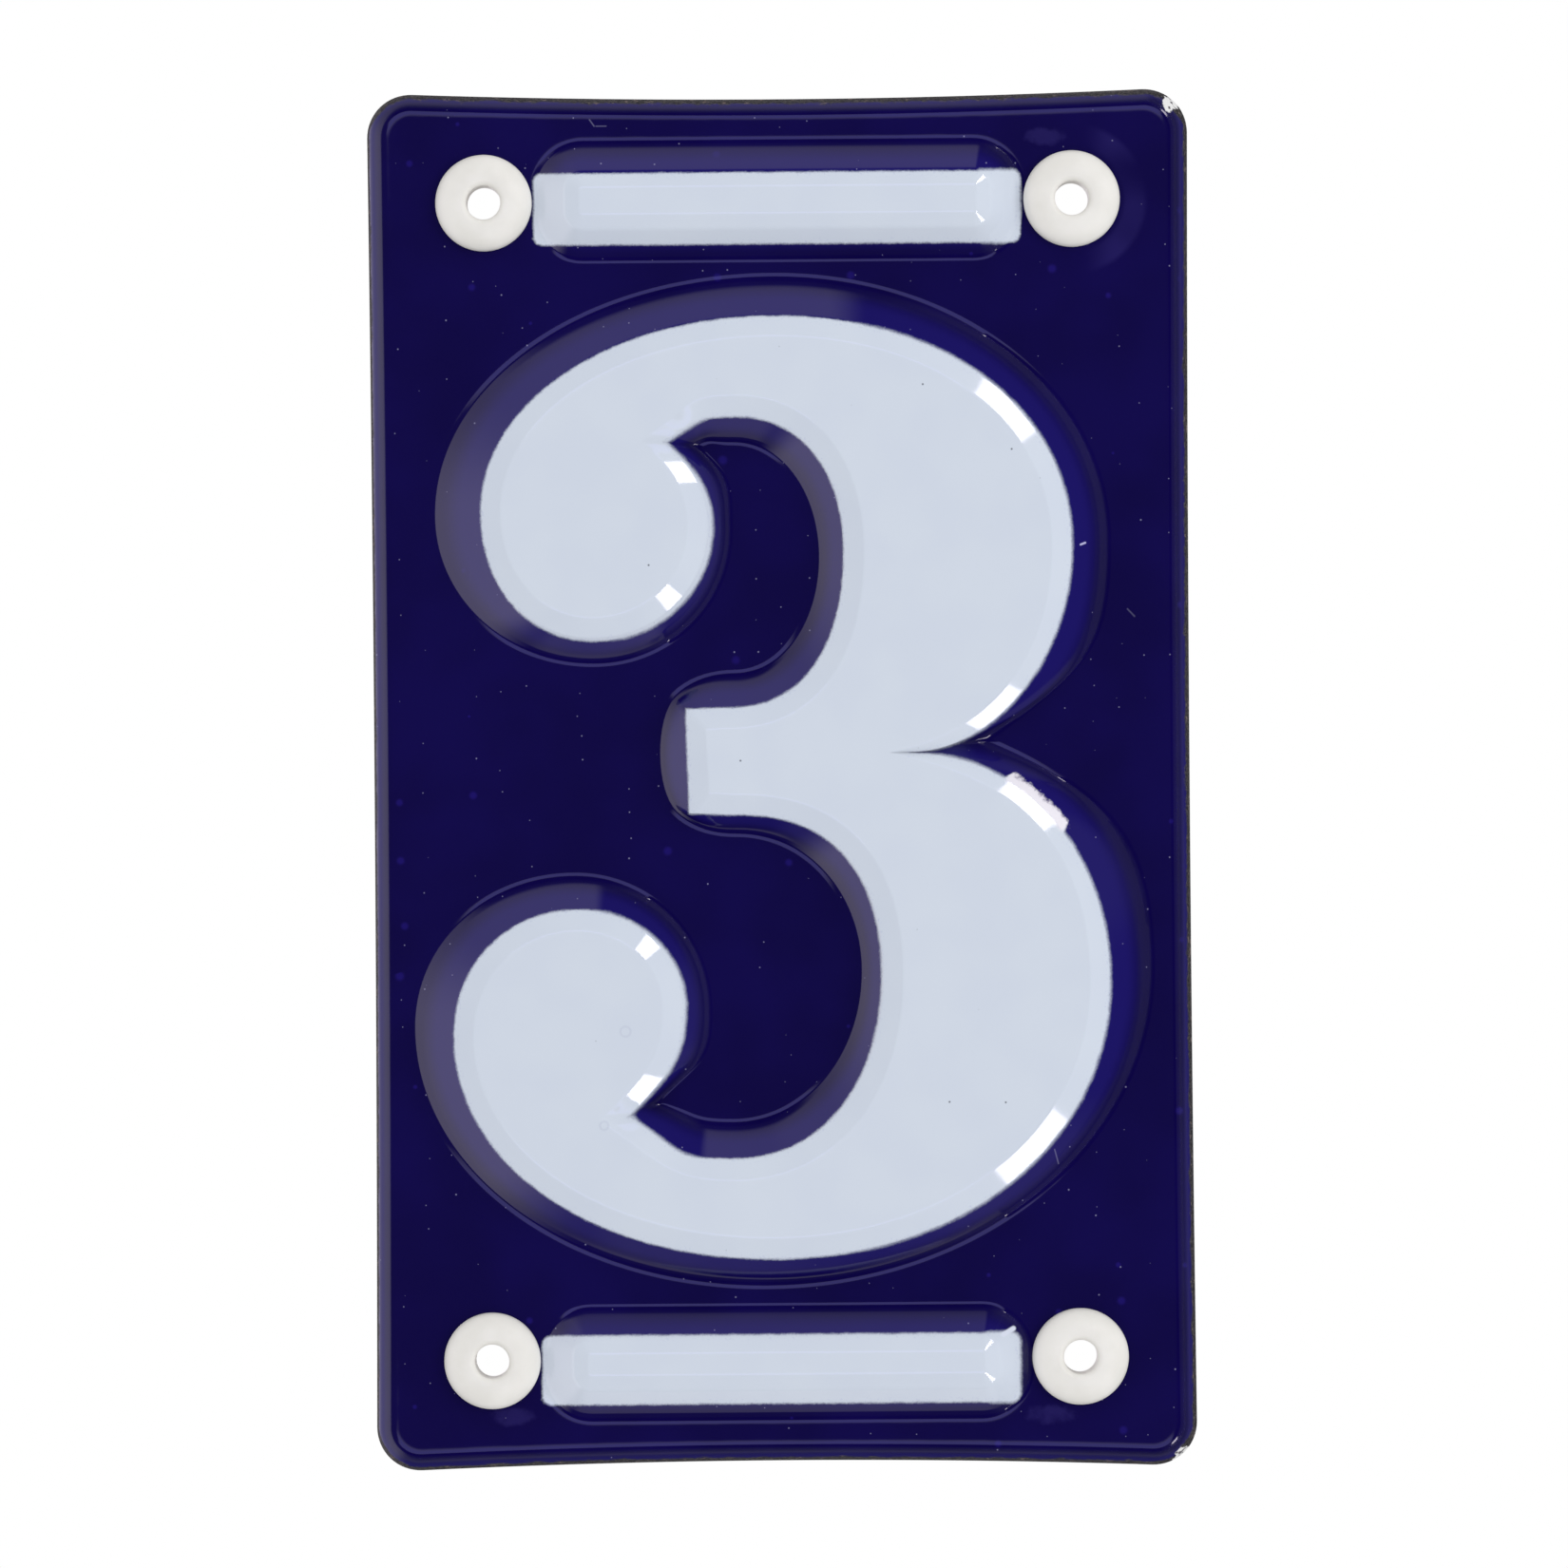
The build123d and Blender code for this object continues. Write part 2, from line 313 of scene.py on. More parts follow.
# %% [markdown]
# ## The pressed sheet
# The rings are laid down as loops of vertices, with a strip of faces from each to the next. Then the flat
# parts, which are the field and the three tops, are filled as by hand: their border edges are selected and
# the fill operator closes them. A Solidify modifier gives the sheet its thickness, so the back is hollow
# behind the reliefs as on the real pressing.

# %% Lay the rings and strips
# Middle and height of each bar's foot
BARS = [(63.1, 13.1), (-63.4, 12.5)]
HOLE_X, HOLE_Z, HOLE_RADIUS, HOLE_STEPS = 32.0, 63.0, 3.1, 72


def lay_rings(mesh, rings):
    """Strips of faces through a list of rings, each a list of points with its depth."""
    before = None
    for ring, depth in rings:
        loop = [mesh.verts.new((x * MM, -depth * MM, z * MM)) for x, z in ring]
        after = loop[1:] + loop[:1]
        if before is None:
            for a, b in zip(loop, after):
                mesh.edges.new((a, b))
        else:
            for a, b, c, d in zip(before, before[1:] + before[:1], after, loop):
                mesh.faces.new((a, b, c, d))
        before = loop


def hole_ring(hole_x, hole_z):
    turns = [math.radians(k * 360 / HOLE_STEPS) for k in range(HOLE_STEPS)]
    return [
        Vector((hole_x + HOLE_RADIUS * math.cos(turn), hole_z + HOLE_RADIUS * math.sin(turn)))
        for turn in turns
    ]


skin = bmesh.new()
lay_rings(skin, [(plate_ring(inset), depth) for inset, depth in reversed(rim_section)])
lay_rings(skin, [(numeral_ring(spread), FIELD_DEPTH + rise) for spread, rise in numeral_section])
for bar_z, height in BARS:
    lay_rings(skin, [(bar_ring(grow, bar_z, height), FIELD_DEPTH + rise) for grow, rise in bar_section])
for hole_x in (HOLE_X, -HOLE_X):
    for hole_z in (HOLE_Z, -HOLE_Z):
        lay_rings(skin, [(hole_ring(hole_x, hole_z), FIELD_DEPTH)])
plaque_mesh = bpy.data.meshes.new("plaque_sheet")
skin.to_mesh(plaque_mesh)
skin.free()
bpy.ops.object.select_all(action="DESELECT")
plaque = bpy.data.objects.new("plaque_sheet", plaque_mesh)
bpy.context.collection.objects.link(plaque)
plaque.select_set(True)
bpy.context.view_layer.objects.active = plaque
print("strips:", len(plaque_mesh.polygons), "faces")

# %% Fill the flats
SAME_DEPTH = 1e-6


def fill_flat(depth, height_range=(-1, 1)):
    """Close the border edges that lie at one depth, and face the new faces to the front."""
    bpy.ops.object.mode_set(mode="EDIT")
    mesh = bmesh.from_edit_mesh(plaque.data)
    for item in (*mesh.verts, *mesh.edges, *mesh.faces):
        item.select = False
    low, high = height_range
    for edge in mesh.edges:
        flat = all(abs(v.co.y + depth * MM) < SAME_DEPTH and low < v.co.z < high for v in edge.verts)
        if flat and len(edge.link_faces) < 2:
            edge.select_set(True)
    bpy.ops.mesh.fill(use_beauty=True)
    mesh = bmesh.from_edit_mesh(plaque.data)
    for face in mesh.faces:
        if face.select and face.normal.y > 0:
            face.normal_flip()
    bmesh.update_edit_mesh(plaque.data)
    bpy.ops.object.mode_set(mode="OBJECT")


fill_flat(FIELD_DEPTH)
fill_flat(FIELD_DEPTH + NUMERAL_TOP)
fill_flat(FIELD_DEPTH + BAR_TOP, (0, 1))
fill_flat(FIELD_DEPTH + BAR_TOP, (-1, 0))
print("with its flats filled:", len(plaque.data.polygons), "faces")

# %% Thicken the sheet
SHEET_THICKNESS, SMOOTH_ANGLE = 1.2, 28
thicken = plaque.modifiers.new("sheet", "SOLIDIFY")
thicken.thickness = SHEET_THICKNESS * MM
thicken.offset = -1
thicken.material_offset = 1
thicken.material_offset_rim = 1
plaque.data.materials.append(bpy.data.materials.new("fused_enamel"))
plaque.data.materials.append(bpy.data.materials.new("ground_coat"))
bpy.ops.object.modifier_apply(modifier=thicken.name)
# The cut edge lies on the wall, so nothing may reach behind it
for vertex in plaque.data.vertices:
    vertex.co.y = min(vertex.co.y, 0.0)
bpy.ops.object.shade_smooth_by_angle(angle=math.radians(SMOOTH_ANGLE))
print("sheet:", len(plaque.data.vertices), "points,", len(plaque.data.polygons), "faces")

# %% [markdown]
# ## Where the white stops
# The white numeral was left bare when the blue was brushed off through a stencil, so its edge is not quite
# the edge of the relief. It gets an outline of its own. Each vertex of the sheet stores how far inside the
# white it is, in millimetres, and the material turns that into a line with its own small wander. A painted
# mask would need an image, and an attribute rides with the mesh. The outline was measured square on from
# a metre away, where the raised parts look a hair larger, so the points are seen from there as well.

# %% Outline the white
# Middle, size and corner radius of each white bar
WHITE_BARS = [((-0.1, 62.25), (53.0, 7.8), 0.9), ((-0.6, -64.13), (52.0, 7.55), 0.9)]
WHITE_STEP, FEWEST_WHITE_POINTS = 0.15, 6
white_numeral = []
for curve in chain_curves(edge_chain(0), EDGE_FULLNESS):
    white_count = max(FEWEST_WHITE_POINTS, round(curve_length(curve) / WHITE_STEP))
    white_numeral += interpolate_bezier(*curve, white_count)[:-1]
white_outlines = [white_numeral]
for (x, z), (length, height), radius in WHITE_BARS:
    outline = rounded_rectangle(length / 2, height / 2, radius, WHITE_STEP)
    white_outlines.append([point + Vector((x, z)) for point in outline])
print("points on the white outlines:", [len(outline) for outline in white_outlines])

# %% Measure the distance to the white edge
DISTANCE_LIMIT, VIEW_REACH = 3.0, 1000.0


def inside_outline(points, outline):
    """Which points lie inside a closed outline, by counting the edges that a level ray crosses."""
    ring = np.array(outline)
    inside = np.zeros(len(points), bool)
    for (x1, z1), (x2, z2) in zip(ring, np.roll(ring, -1, axis=0)):
        if z1 != z2:
            crosses = (points[:, 1] >= min(z1, z2)) & (points[:, 1] < max(z1, z2))
            where = x1 + (points[:, 1] - z1) * (x2 - x1) / (z2 - z1)
            inside ^= crosses & (points[:, 0] < where)
    return inside


flat_points = np.array([
    Vector((v.co.x, v.co.z)) / MM * VIEW_REACH / (VIEW_REACH + FIELD_DEPTH + v.co.y / MM)
    for v in plaque.data.vertices
])
white_inside = np.zeros(len(flat_points), bool)
for outline in white_outlines:
    white_inside |= inside_outline(flat_points, outline)
white_points = [point for outline in white_outlines for point in outline]
white_tree = kdtree.KDTree(len(white_points))
for k, (x, z) in enumerate(white_points):
    white_tree.insert((x, z, 0), k)
white_tree.balance()
distance = np.array([white_tree.find((x, z, 0))[2] for x, z in flat_points])
white_depth = np.where(white_inside, distance, -distance).clip(-DISTANCE_LIMIT, DISTANCE_LIMIT)
plaque.data.attributes.new("white_depth", "FLOAT", "POINT").data.foreach_set("value", white_depth)
print("white points:", int(white_inside.sum()), "of", len(flat_points))

# %% [markdown]
# ## The surface of the glaze
# Molten glass doesn't follow steel exactly. It fills the foot of a slope, lies gentler on the steepest parts
# and makes its own even round along the numeral's top, and the highlights show that. A second skin could
# be modelled for the glass, but it would double the mesh. Instead each vertex stores the direction that the
# glass faces, as another attribute, and the material shades with it on the reliefs. The numeral's bevel has
# one tilt all round, so a small softbox shows as a neat patch wherever the bevel faces it.

# %% Tilt the glass on the bevel
# Above this lift off the field the bevel begins, and its tilt ends this far below the top
BEVEL_LIFT, BEVEL_TILT, TOP_ROUNDING = 2.6, 15.3, 0.04
# The glass levels out near the tips of the notches and at three spots beside them
LEVEL_REACH = 2.2
LEVEL_SPOTS = [Vector(EDGE[k][:2]) for k in (UPPER_NOTCH, LOWER_NOTCH)]
LEVEL_SPOTS += [Vector(spot) for spot in ((-11.0, 39.7), (-14.2, 36.2), (-18.2, -35.6))]
# Where it faces the softboxes the bevel turns slowly on the bowls and quickly on the balls
SOFTBOX_TURN, SLOW_TURN, QUICK_TURN = 45, 0.76, 1.25
# Degrees past the softbox up to which that holds in full, and from which it doesn't hold
FULL_CHANGE, NO_CHANGE = 12, 30
# By the upper notch, above this height, the patches are seen a little lower
NOTCH_ABOVE, NOTCH_SHIFT = 25, 7


def share_of(value, low, high):
    """How far a value is on its way from low to high, from 0 to 1."""
    return min(max((value - low) / (high - low), 0), 1)


def heading_of(direction):
    return math.degrees(math.atan2(direction.z, direction.x))


def level_direction(degrees):
    around = heading(degrees)
    return Vector((around.x, 0, around.y))


def bevel_glass(vertex, lift, direction):
    """Tilt and direction of the glass at a vertex of the numeral's bevel."""
    x, z = at = Vector((vertex.co.x, vertex.co.z)) / MM
    from_spot = min((at - spot).length for spot in LEVEL_SPOTS)
    tilt = BEVEL_TILT * min(1, from_spot / LEVEL_REACH) * min(1, (NUMERAL_TOP - lift) / TOP_ROUNDING)
    faces = heading_of(direction)
    past = abs(faces) - SOFTBOX_TURN
    change = 1 - share_of(abs(past), FULL_CHANGE, NO_CHANGE)
    by_notch = x < 0 and z > NOTCH_ABOVE
    turn = SLOW_TURN if x > 0 or by_notch else QUICK_TURN
    past *= 1 + (turn - 1) * change
    if by_notch:
        past += NOTCH_SHIFT * change
    return tilt, level_direction(math.copysign(SOFTBOX_TURN + past, faces))


print("spots where the bevel levels out:", len(LEVEL_SPOTS))

# %% Tilt the glass at the foot and store it
# Of the tilt over the first limit, in degrees, only a share counts
GENTLE, STEEP_SHARE = 36, 0.3
# Between these lifts off the field the glass stays flat at first and then turns up at once
FIELD_LIFT, FOOT_LIFT = 0.01, 1.2
FLAT_TILT, TURN_UP, UP_TILT = 8, 15, 25
# That holds the more, the more a slope faces left or right; facing right, it turns half as far round
LEAST_SIDEWAYS, FULLY_SIDEWAYS, NEAR_RIGHT = 0.25, 0.6, 57


def foot_glass(tilt, direction):
    """Tilt and direction of the glass where a slope leaves the field."""
    bent = min(tilt, FLAT_TILT) if tilt < TURN_UP else max(tilt, UP_TILT)
    tilt += (bent - tilt) * share_of(abs(direction.x), LEAST_SIDEWAYS, FULLY_SIDEWAYS)
    faces = heading_of(direction)
    if abs(faces) < NEAR_RIGHT:
        direction = level_direction(faces / 2)
    return tilt, direction


glaze = []
for vertex in plaque.data.vertices:
    lift = -vertex.co.y / MM - FIELD_DEPTH
    direction = Vector((vertex.normal.x, 0, vertex.normal.z))
    tilt = math.degrees(math.atan2(direction.length, -vertex.normal.y))
    direction.normalize()
    if lift > BEVEL_LIFT:
        tilt, direction = bevel_glass(vertex, lift, direction)
    elif FIELD_LIFT < lift < FOOT_LIFT:
        tilt, direction = foot_glass(tilt, direction)
    tilt = math.radians(min(tilt, GENTLE + max(tilt - GENTLE, 0) * STEEP_SHARE))
    glaze.append(direction * math.sin(tilt) + Vector((0, -math.cos(tilt), 0)))
glaze_attribute = plaque.data.attributes.new("glaze_normal", "FLOAT_VECTOR", "POINT")
glaze_attribute.data.foreach_set("vector", np.ravel(glaze))
print("glaze normals:", len(glaze))

# %% [markdown]
# ## A shorthand for shader maths
# A shader tree is easier to read as sums. One small class wraps a socket: an expression on it adds Math
# nodes, and its node method adds any other node. The same tree could be wired by hand in the shader editor.

# %% Wrap sockets in sums
class Wire:
    """A socket that can stand in sums."""

    def __init__(self, socket):
        self.socket = socket

    def node(self, kind, settings=None, inputs=None, output=0):
        """Add a node to this wire's tree: its settings first, then its sockets' values or links."""
        tree = self.socket.id_data
        node = tree.nodes.new(kind)
        for name, value in (settings or {}).items():
            setattr(node, name, value)
        for name, value in (inputs or {}).items():
            if isinstance(value, Wire):
                tree.links.new(value.socket, node.inputs[name])
            else:
                node.inputs[name].default_value = value
        return Wire(node.outputs[output])

    def math(self, operation, a, b=0.0):
        return self.node("ShaderNodeMath", {"operation": operation}, {0: a, 1: b})

    def __add__(self, other):
        return self.math("ADD", self, other)

    def __radd__(self, other):
        return self.math("ADD", other, self)

    def __sub__(self, other):
        return self.math("SUBTRACT", self, other)

    def __rsub__(self, other):
        return self.math("SUBTRACT", other, self)

    def __mul__(self, other):
        return self.math("MULTIPLY", self, other)

    def __rmul__(self, other):
        return self.math("MULTIPLY", other, self)

    def __truediv__(self, other):
        return self.math("DIVIDE", self, other)

    def most(self, other):
        return self.math("MAXIMUM", self, other)

    def ramp(self, low, high):
        """0 below low and 1 above high, with a soft step between; low may be the larger."""
        return self.node(
            "ShaderNodeMapRange",
            {"interpolation_type": "SMOOTHSTEP"},
            {"Value": self, "From Min": low, "From Max": high},
        )

    def band(self, start, full, fade, end):
        """1 from full to fade, with a soft step on each side that ends at start and at end."""
        return self.ramp(start, full) * self.ramp(end, fade)

    def parts(self):
        """The X, Y and Z of a vector."""
        split = self.node("ShaderNodeSeparateXYZ", None, {0: self}).socket.node
        return [Wire(socket) for socket in split.outputs]

    def noise(self, scale, detail=2.0, roughness=0.5):
        """Noise over this wire's coordinates; scale is in features for each metre."""
        inputs = {"Vector": self, "Scale": scale, "Detail": detail, "Roughness": roughness}
        return self.node("ShaderNodeTexNoise", None, inputs)

    def colour_mix(self, below, above):
        """This wire's value as a mask between two colours."""
        return self.node(
            "ShaderNodeMix", {"data_type": "RGBA"}, {"Factor": self, 6: below, 7: above}, output=2
        )

    def bump(self, strength, distance, more=None):
        """A normal that is bumped by this wire's value as a height."""
        inputs = {"Strength": strength, "Distance": distance, "Height": self, **(more or {})}
        return self.node("ShaderNodeBump", None, inputs)


print("sockets wrapped")

# %% Start and feed a shader
def srgb(*channels):
    """A colour as it is seen, its channels from 0 to 255, as the linear colour that a shader takes."""
    seen = [channel / 255 for channel in channels]
    linear = [share / 12.92 if share <= 0.04045 else ((share + 0.055) / 1.055) ** 2.4 for share in seen]
    return (*linear, 1.0)


def start_finish(material):
    """The shader of a material with fresh nodes, and the object's coordinates."""
    material.use_nodes = True
    shader = material.node_tree.nodes["Principled BSDF"]
    return shader, Wire(shader.outputs[0]).node("ShaderNodeTexCoord", output="Object")


def feed(shader, inputs):
    """Link wires to a shader's sockets, or set its constants."""
    for name, value in inputs.items():
        if isinstance(value, Wire):
            shader.id_data.links.new(value.socket, shader.inputs[name])
        else:
            shader.inputs[name].default_value = value


print("shader helpers ready")

# %% [markdown]
# ## Enamel
# Vitreous enamel is coloured glass. The blue is thick and dark on the flat field and thinner on the slopes,
# where it ran down and more light comes back through it. The white is a little blue. Gloss comes from the
# glass itself, so the roughness is low. Marks of age come last: dust, pinholes, bubbles, chips and the bare
# burnt edge. A mark could be painted on an image, but here each is a shape drawn from distances over the
# sheet, in millimetres, so it stays sharp at any size.

# %% Measure the sheet in the shader
enamel = plaque.data.materials[0]
shader, place = start_finish(enamel)
inside_white = place.node("ShaderNodeAttribute", {"attribute_name": "white_depth"}, output="Fac")
across, to_wall, height = (part / MM for part in place.parts())
depth = 0 - to_wall
rise = depth - FIELD_DEPTH
flat_place = place.node("ShaderNodeCombineXYZ", None, {"X": across, "Y": height})
grain, crumbs, ragged = place.noise(3800, 2, 0.6), place.noise(1500, 2), place.noise(900, 2, 0.6)
facing = place.node("ShaderNodeNewGeometry", output="Normal")
facing_right = facing.parts()[0].ramp(0.06, 0.2)
print("nodes that measure the sheet:", len(enamel.node_tree.nodes))

# %% Draw spots, circles, strokes and patches
def reach(x, z):
    """How far a point of the sheet is from a spot, seen square on, in millimetres."""
    return place.node(
        "ShaderNodeVectorMath", {"operation": "DISTANCE"}, {0: flat_place, 1: (x, z, 0)}, output="Value"
    )


def spot(x, z, radius, soft):
    return reach(x, z).ramp(radius + soft, radius - soft)


def circle(x, z, radius, width):
    return reach(x, z).band(radius - width, radius - width / 2, radius + width / 2, radius + width)


def dash(x1, z1, x2, z2, width):
    """A short stroke with round ends."""
    run = Vector((x2 - x1, z2 - z1))
    cos, sin = run.normalized()
    dx, dz = across - (x1 + x2) / 2, height - (z1 + z2) / 2
    beyond = (place.math("ABSOLUTE", dx * cos + dz * sin) - run.length / 2).most(0.0)
    side = dz * cos - dx * sin
    return (beyond * beyond + side * side).ramp(width * width, 0.1 * width * width)


def ragged_patch(x, z, half_x, half_z):
    """A soft patch with a ragged edge."""
    dx, dz = (across - x) / half_x, (height - z) / half_z
    return (dx * dx + dz * dz + (ragged - 0.5) * 2).ramp(1.2, 0.0)


def scatter(spacing, share, smallest, largest):
    """Round spots strewn over the sheet: a share of the cells has one, and each has its own size."""
    cells = place.node(
        "ShaderNodeTexVoronoi", {"voronoi_dimensions": "2D"}, {"Vector": flat_place, "Scale": 1 / spacing}
    )
    chance = Wire(cells.socket.node.outputs["Color"])
    pick, size = (place.node("ShaderNodeSeparateColor", None, {0: chance}, output=k) for k in (0, 1))
    size = size * (largest - smallest) + smallest
    return pick.ramp(share + 0.01, share - 0.01) * (cells * spacing).ramp(size, size * 0.3)


print("marks ready: spot, circle, dash, smear, scatter")

# %% [markdown]
# ## Blue and white glass
# The blue was brushed away from the white while it was still powder, so the edge between them wanders by
# about a tenth of a millimetre, and blue grains lie on the white along it. At the right, below the waist, a
# flake of blue has gone from the slope and white shows. Two materials with a hard edge would look like cut
# film, so one material mixes both colours by the stored distance, with the wander added to it.

# %% Mix blue and white glass
DEEP_BLUE, FIELD_BLUE, SPOT_BLUE = srgb(13, 6, 65), srgb(16, 8, 74), srgb(38, 26, 128)
PATCH_BLUE, THIN_BLUE = srgb(62, 54, 128), srgb(25, 18, 97)
WHITE_SHADES, GRANULE = (srgb(206, 214, 228), srgb(208, 216, 229)), srgb(176, 182, 214)
FLAKE_WHITE, BARE_GREY = srgb(242, 236, 244), srgb(150, 138, 160)
CHIP_X, CHIP_Z, CHIP_REACH, CHIP_SOFT = 27.8, -2.5, 4.2, 0.3
chip = spot(CHIP_X, CHIP_Z, CHIP_REACH, CHIP_SOFT) * inside_white.ramp(-1.6, -1.2)
wander = (ragged - 0.5) * 0.22 + (place.noise(5200, 1) - 0.5) * 0.16
chipped = chip * (0.85 + (place.noise(700, 3, 0.7) - 0.5) * 1.8)
white = (inside_white + wander + chipped).ramp(-0.2 - facing_right * 0.2, 0.22)
cloud = place.noise(70, 2, 0.6)
blue_field = cloud.ramp(0.3, 0.7).colour_mix(DEEP_BLUE, FIELD_BLUE)
blue_field = (scatter(7.0, 0.3, 0.2, 0.7) * 0.4).colour_mix(blue_field, SPOT_BLUE)
# Lavender-blue patches by the bars' ends, at their outer corners, and a broken ring at the right of the top
# right grommet
lavender_patches = ragged_patch(28.7, -69.3, 3.0, 1.1).most(ragged_patch(-29.8, -69.1, 2.4, 1.1)).most(ragged_patch(29.2, 69.8, 2.4, 1.0))
lavender_patches = lavender_patches.most(circle(HOLE_X, HOLE_Z, 6.9, 1.6) * across.ramp(33, 37) * cloud.ramp(0.3, 0.6))
blue_field = (lavender_patches * 0.22).colour_mix(blue_field, PATCH_BLUE)
thin = rise.ramp(0.1, 1.6).most(rise.ramp(-0.2, -0.8))
blue = thin.colour_mix(blue_field, THIN_BLUE)
white_glass = place.noise(160, 1).ramp(0.3, 0.7).colour_mix(*WHITE_SHADES)
granules = inside_white.ramp(0.9, 0.2) * grain.ramp(0.56, 0.7) * 0.4
white_glass = granules.colour_mix(white_glass, GRANULE)
white_glass = (chip * inside_white.ramp(0.5, -0.2) * 0.8).colour_mix(white_glass, FLAKE_WHITE)
glass = white.colour_mix(blue, white_glass)
bare = chip * (1 - white) * inside_white.ramp(-1.15, -0.75) * crumbs.ramp(0.5, 0.62)
glass = bare.colour_mix(glass, BARE_GREY)
print("glass mixed, with a chip at", (CHIP_X, CHIP_Z))

# %% [markdown]
# ## Dust, pinholes and bubbles
# Gas leaves the glass in the kiln as pinholes and bubbles, and dust and hairs settle on it later. The ones
# that catch the eye have their own places, and the fine ones are strewn with a Voronoi texture. Specks could
# be scattered as small meshes, but at a tenth of a millimetre colour is enough.

# %% Add dust, pinholes and bubbles
DUST, PINHOLE = srgb(176, 174, 214), srgb(40, 40, 62)
BUBBLE, SPLASH = srgb(176, 182, 205), srgb(214, 220, 236)
PINHOLES = [(-14.3, 23.4), (17.9, -35.1), (24.0, -35.2), (15.6, 42.8), (25.2, 35.7), (-4.5, 2.1)]
PINHOLE_RADIUS, PINHOLE_SOFT = 0.1, 0.06
# Place and radius of each bubble
BUBBLES, BUBBLE_WALL = [(-17.2, -27.2, 0.55), (-19.6, -37.4, 0.45)], 0.16
# Hairs: their strokes, width and strength
HAIRS = [
    ((-20.4, 72.0, -19.9, 71.3), 0.1, 0.2), ((-19.7, 71.3, -18.6, 71.3), 0.09, 0.18),
    ((32.65, 25.3, 33.15, 25.5), 0.15, 1.0), ((37.75, 18.3, 38.5, 17.5), 0.12, 0.12),
    ((29.3, -40.4, 29.75, -42.0), 0.09, 0.22),
]
# A splash of white by the lower bar
SPLASH_STROKE, SPLASH_WIDTH = (24.7, -59.9, 23.6, -60.5), 0.36
dust = scatter(2.8, 0.28, 0.04, 0.13) * (1 - white) * 0.42
for stroke, width, strength in HAIRS:
    dust = dust.most(dash(*stroke, width) * strength)
pits = scatter(7.0, 0.12, 0.05, 0.12) * white * 0.3
for x, z in PINHOLES:
    pits = pits.most(spot(x, z, PINHOLE_RADIUS, PINHOLE_SOFT) * 0.8)
first_bubble, second_bubble = (circle(*bubble, BUBBLE_WALL) for bubble in BUBBLES)
glass = dust.colour_mix(glass, DUST)
glass = pits.colour_mix(glass, PINHOLE)
glass = (first_bubble.most(second_bubble) * 0.25).colour_mix(glass, BUBBLE)
glass = dash(*SPLASH_STROKE, SPLASH_WIDTH).colour_mix(glass, SPLASH)
print("marks: pinholes", len(PINHOLES), "bubbles", len(BUBBLES), "hair strokes", len(HAIRS))

# %% [markdown]
# ## The burnt edge
# At the turned-back edge the glass is thin and burns off in the kiln, so a dark rough line runs round the
# plaque, widest at the top, and the two right-hand corners have lost a chip. The line could be a third
# material on its own faces, but its border is ragged, so the depth off the wall decides instead. Then the
# enamel is put together: colour, roughness, and a bump of about a hundredth of a millimetre that gives the
# gloss its slight ripple and the white its thickness.

# %% Burn the edge
BURNT_SHADES, RUST = (srgb(30, 29, 33), srgb(72, 69, 71)), srgb(120, 104, 98)
SHARD_SHADES = (srgb(96, 92, 98), srgb(226, 226, 226))
# Place and radius of each lost corner
EDGE_CHIPS = [(42.8, 73.4, 1.0), (43.4, -74.2, 1.3)]
# Depth up to which the glass is gone: all round, and how much more at the right, top and bottom
WORN, WORN_RIGHT, WORN_TOP, WORN_BOTTOM = 1.5, 0.5, 0.75, 0.5
worn_to = WORN + across.ramp(42, 43.5) * WORN_RIGHT
worn_to = worn_to + height.ramp(71, 73) * WORN_TOP + height.ramp(-71, -73) * WORN_BOTTOM
worn_to = worn_to + (place.noise(420, 2, 0.7) - 0.5) * 1.2
lip = (worn_to - depth + (grain - 0.5) * 0.6).ramp(-0.15, 0.3)
burnt = grain.ramp(0.35, 0.7).colour_mix(*BURNT_SHADES)
burnt = (crumbs.ramp(0.6, 0.7) * 0.6).colour_mix(burnt, RUST)
colour = lip.colour_mix(glass, burnt)
top_chip, bottom_chip = (radius - reach(x, z) for x, z, radius in EDGE_CHIPS)
lost = (top_chip.most(bottom_chip) + (ragged - 0.5) * 1.4).ramp(0.0, 0.2)
shard = crumbs.ramp(0.36, 0.46).colour_mix(*SHARD_SHADES)
colour = lost.colour_mix(colour, shard)
print("lost corners:", len(EDGE_CHIPS))

# %% Finish the enamel
GLOSS, UNEVEN_GLOSS, FOOT_ROUGH, RIM_ROUGH, BARE_ROUGH = 0.03, 0.02, 0.14, 0.26, 0.5
# Heights in millimetres
RIPPLE, WHITE_THICKNESS = 0.008, 0.012
foot = rise.ramp(0.002, 0.02) * rise.ramp(0.9, 0.6) * facing_right
rim = rise.ramp(-0.01, -0.2)
roughness = ragged.ramp(0.2, 0.8) * UNEVEN_GLOSS + GLOSS
roughness = roughness + foot * FOOT_ROUGH + rim * RIM_ROUGH + lip.most(lost) * BARE_ROUGH
glaze_normal = place.node("ShaderNodeAttribute", {"attribute_name": "glaze_normal"}, output="Vector")
shine = place.node(
    "ShaderNodeMix", {"data_type": "VECTOR"},
    {"Factor": rise.ramp(0.002, 0.03), 4: facing, 5: glaze_normal}, output=1,
)
relief = place.noise(240, 1) * RIPPLE + inside_white.ramp(-0.2, 0.2) * WHITE_THICKNESS
feed(shader, {
    "Base Color": colour,
    "Roughness": roughness,
    "Normal": relief.bump(1.0, MM, {"Normal": shine}),
    "IOR": 1.5,
})
print("enamel nodes:", len(enamel.node_tree.nodes))

# %% [markdown]
# ## The back
# Behind, the sheet has only its ground coat: dark glass with pale specks, rougher than the front. The back
# could be a piece of its own, but the Solidify modifier has already put it and the cut edge in the second
# material slot, so the coat only has to be mixed.

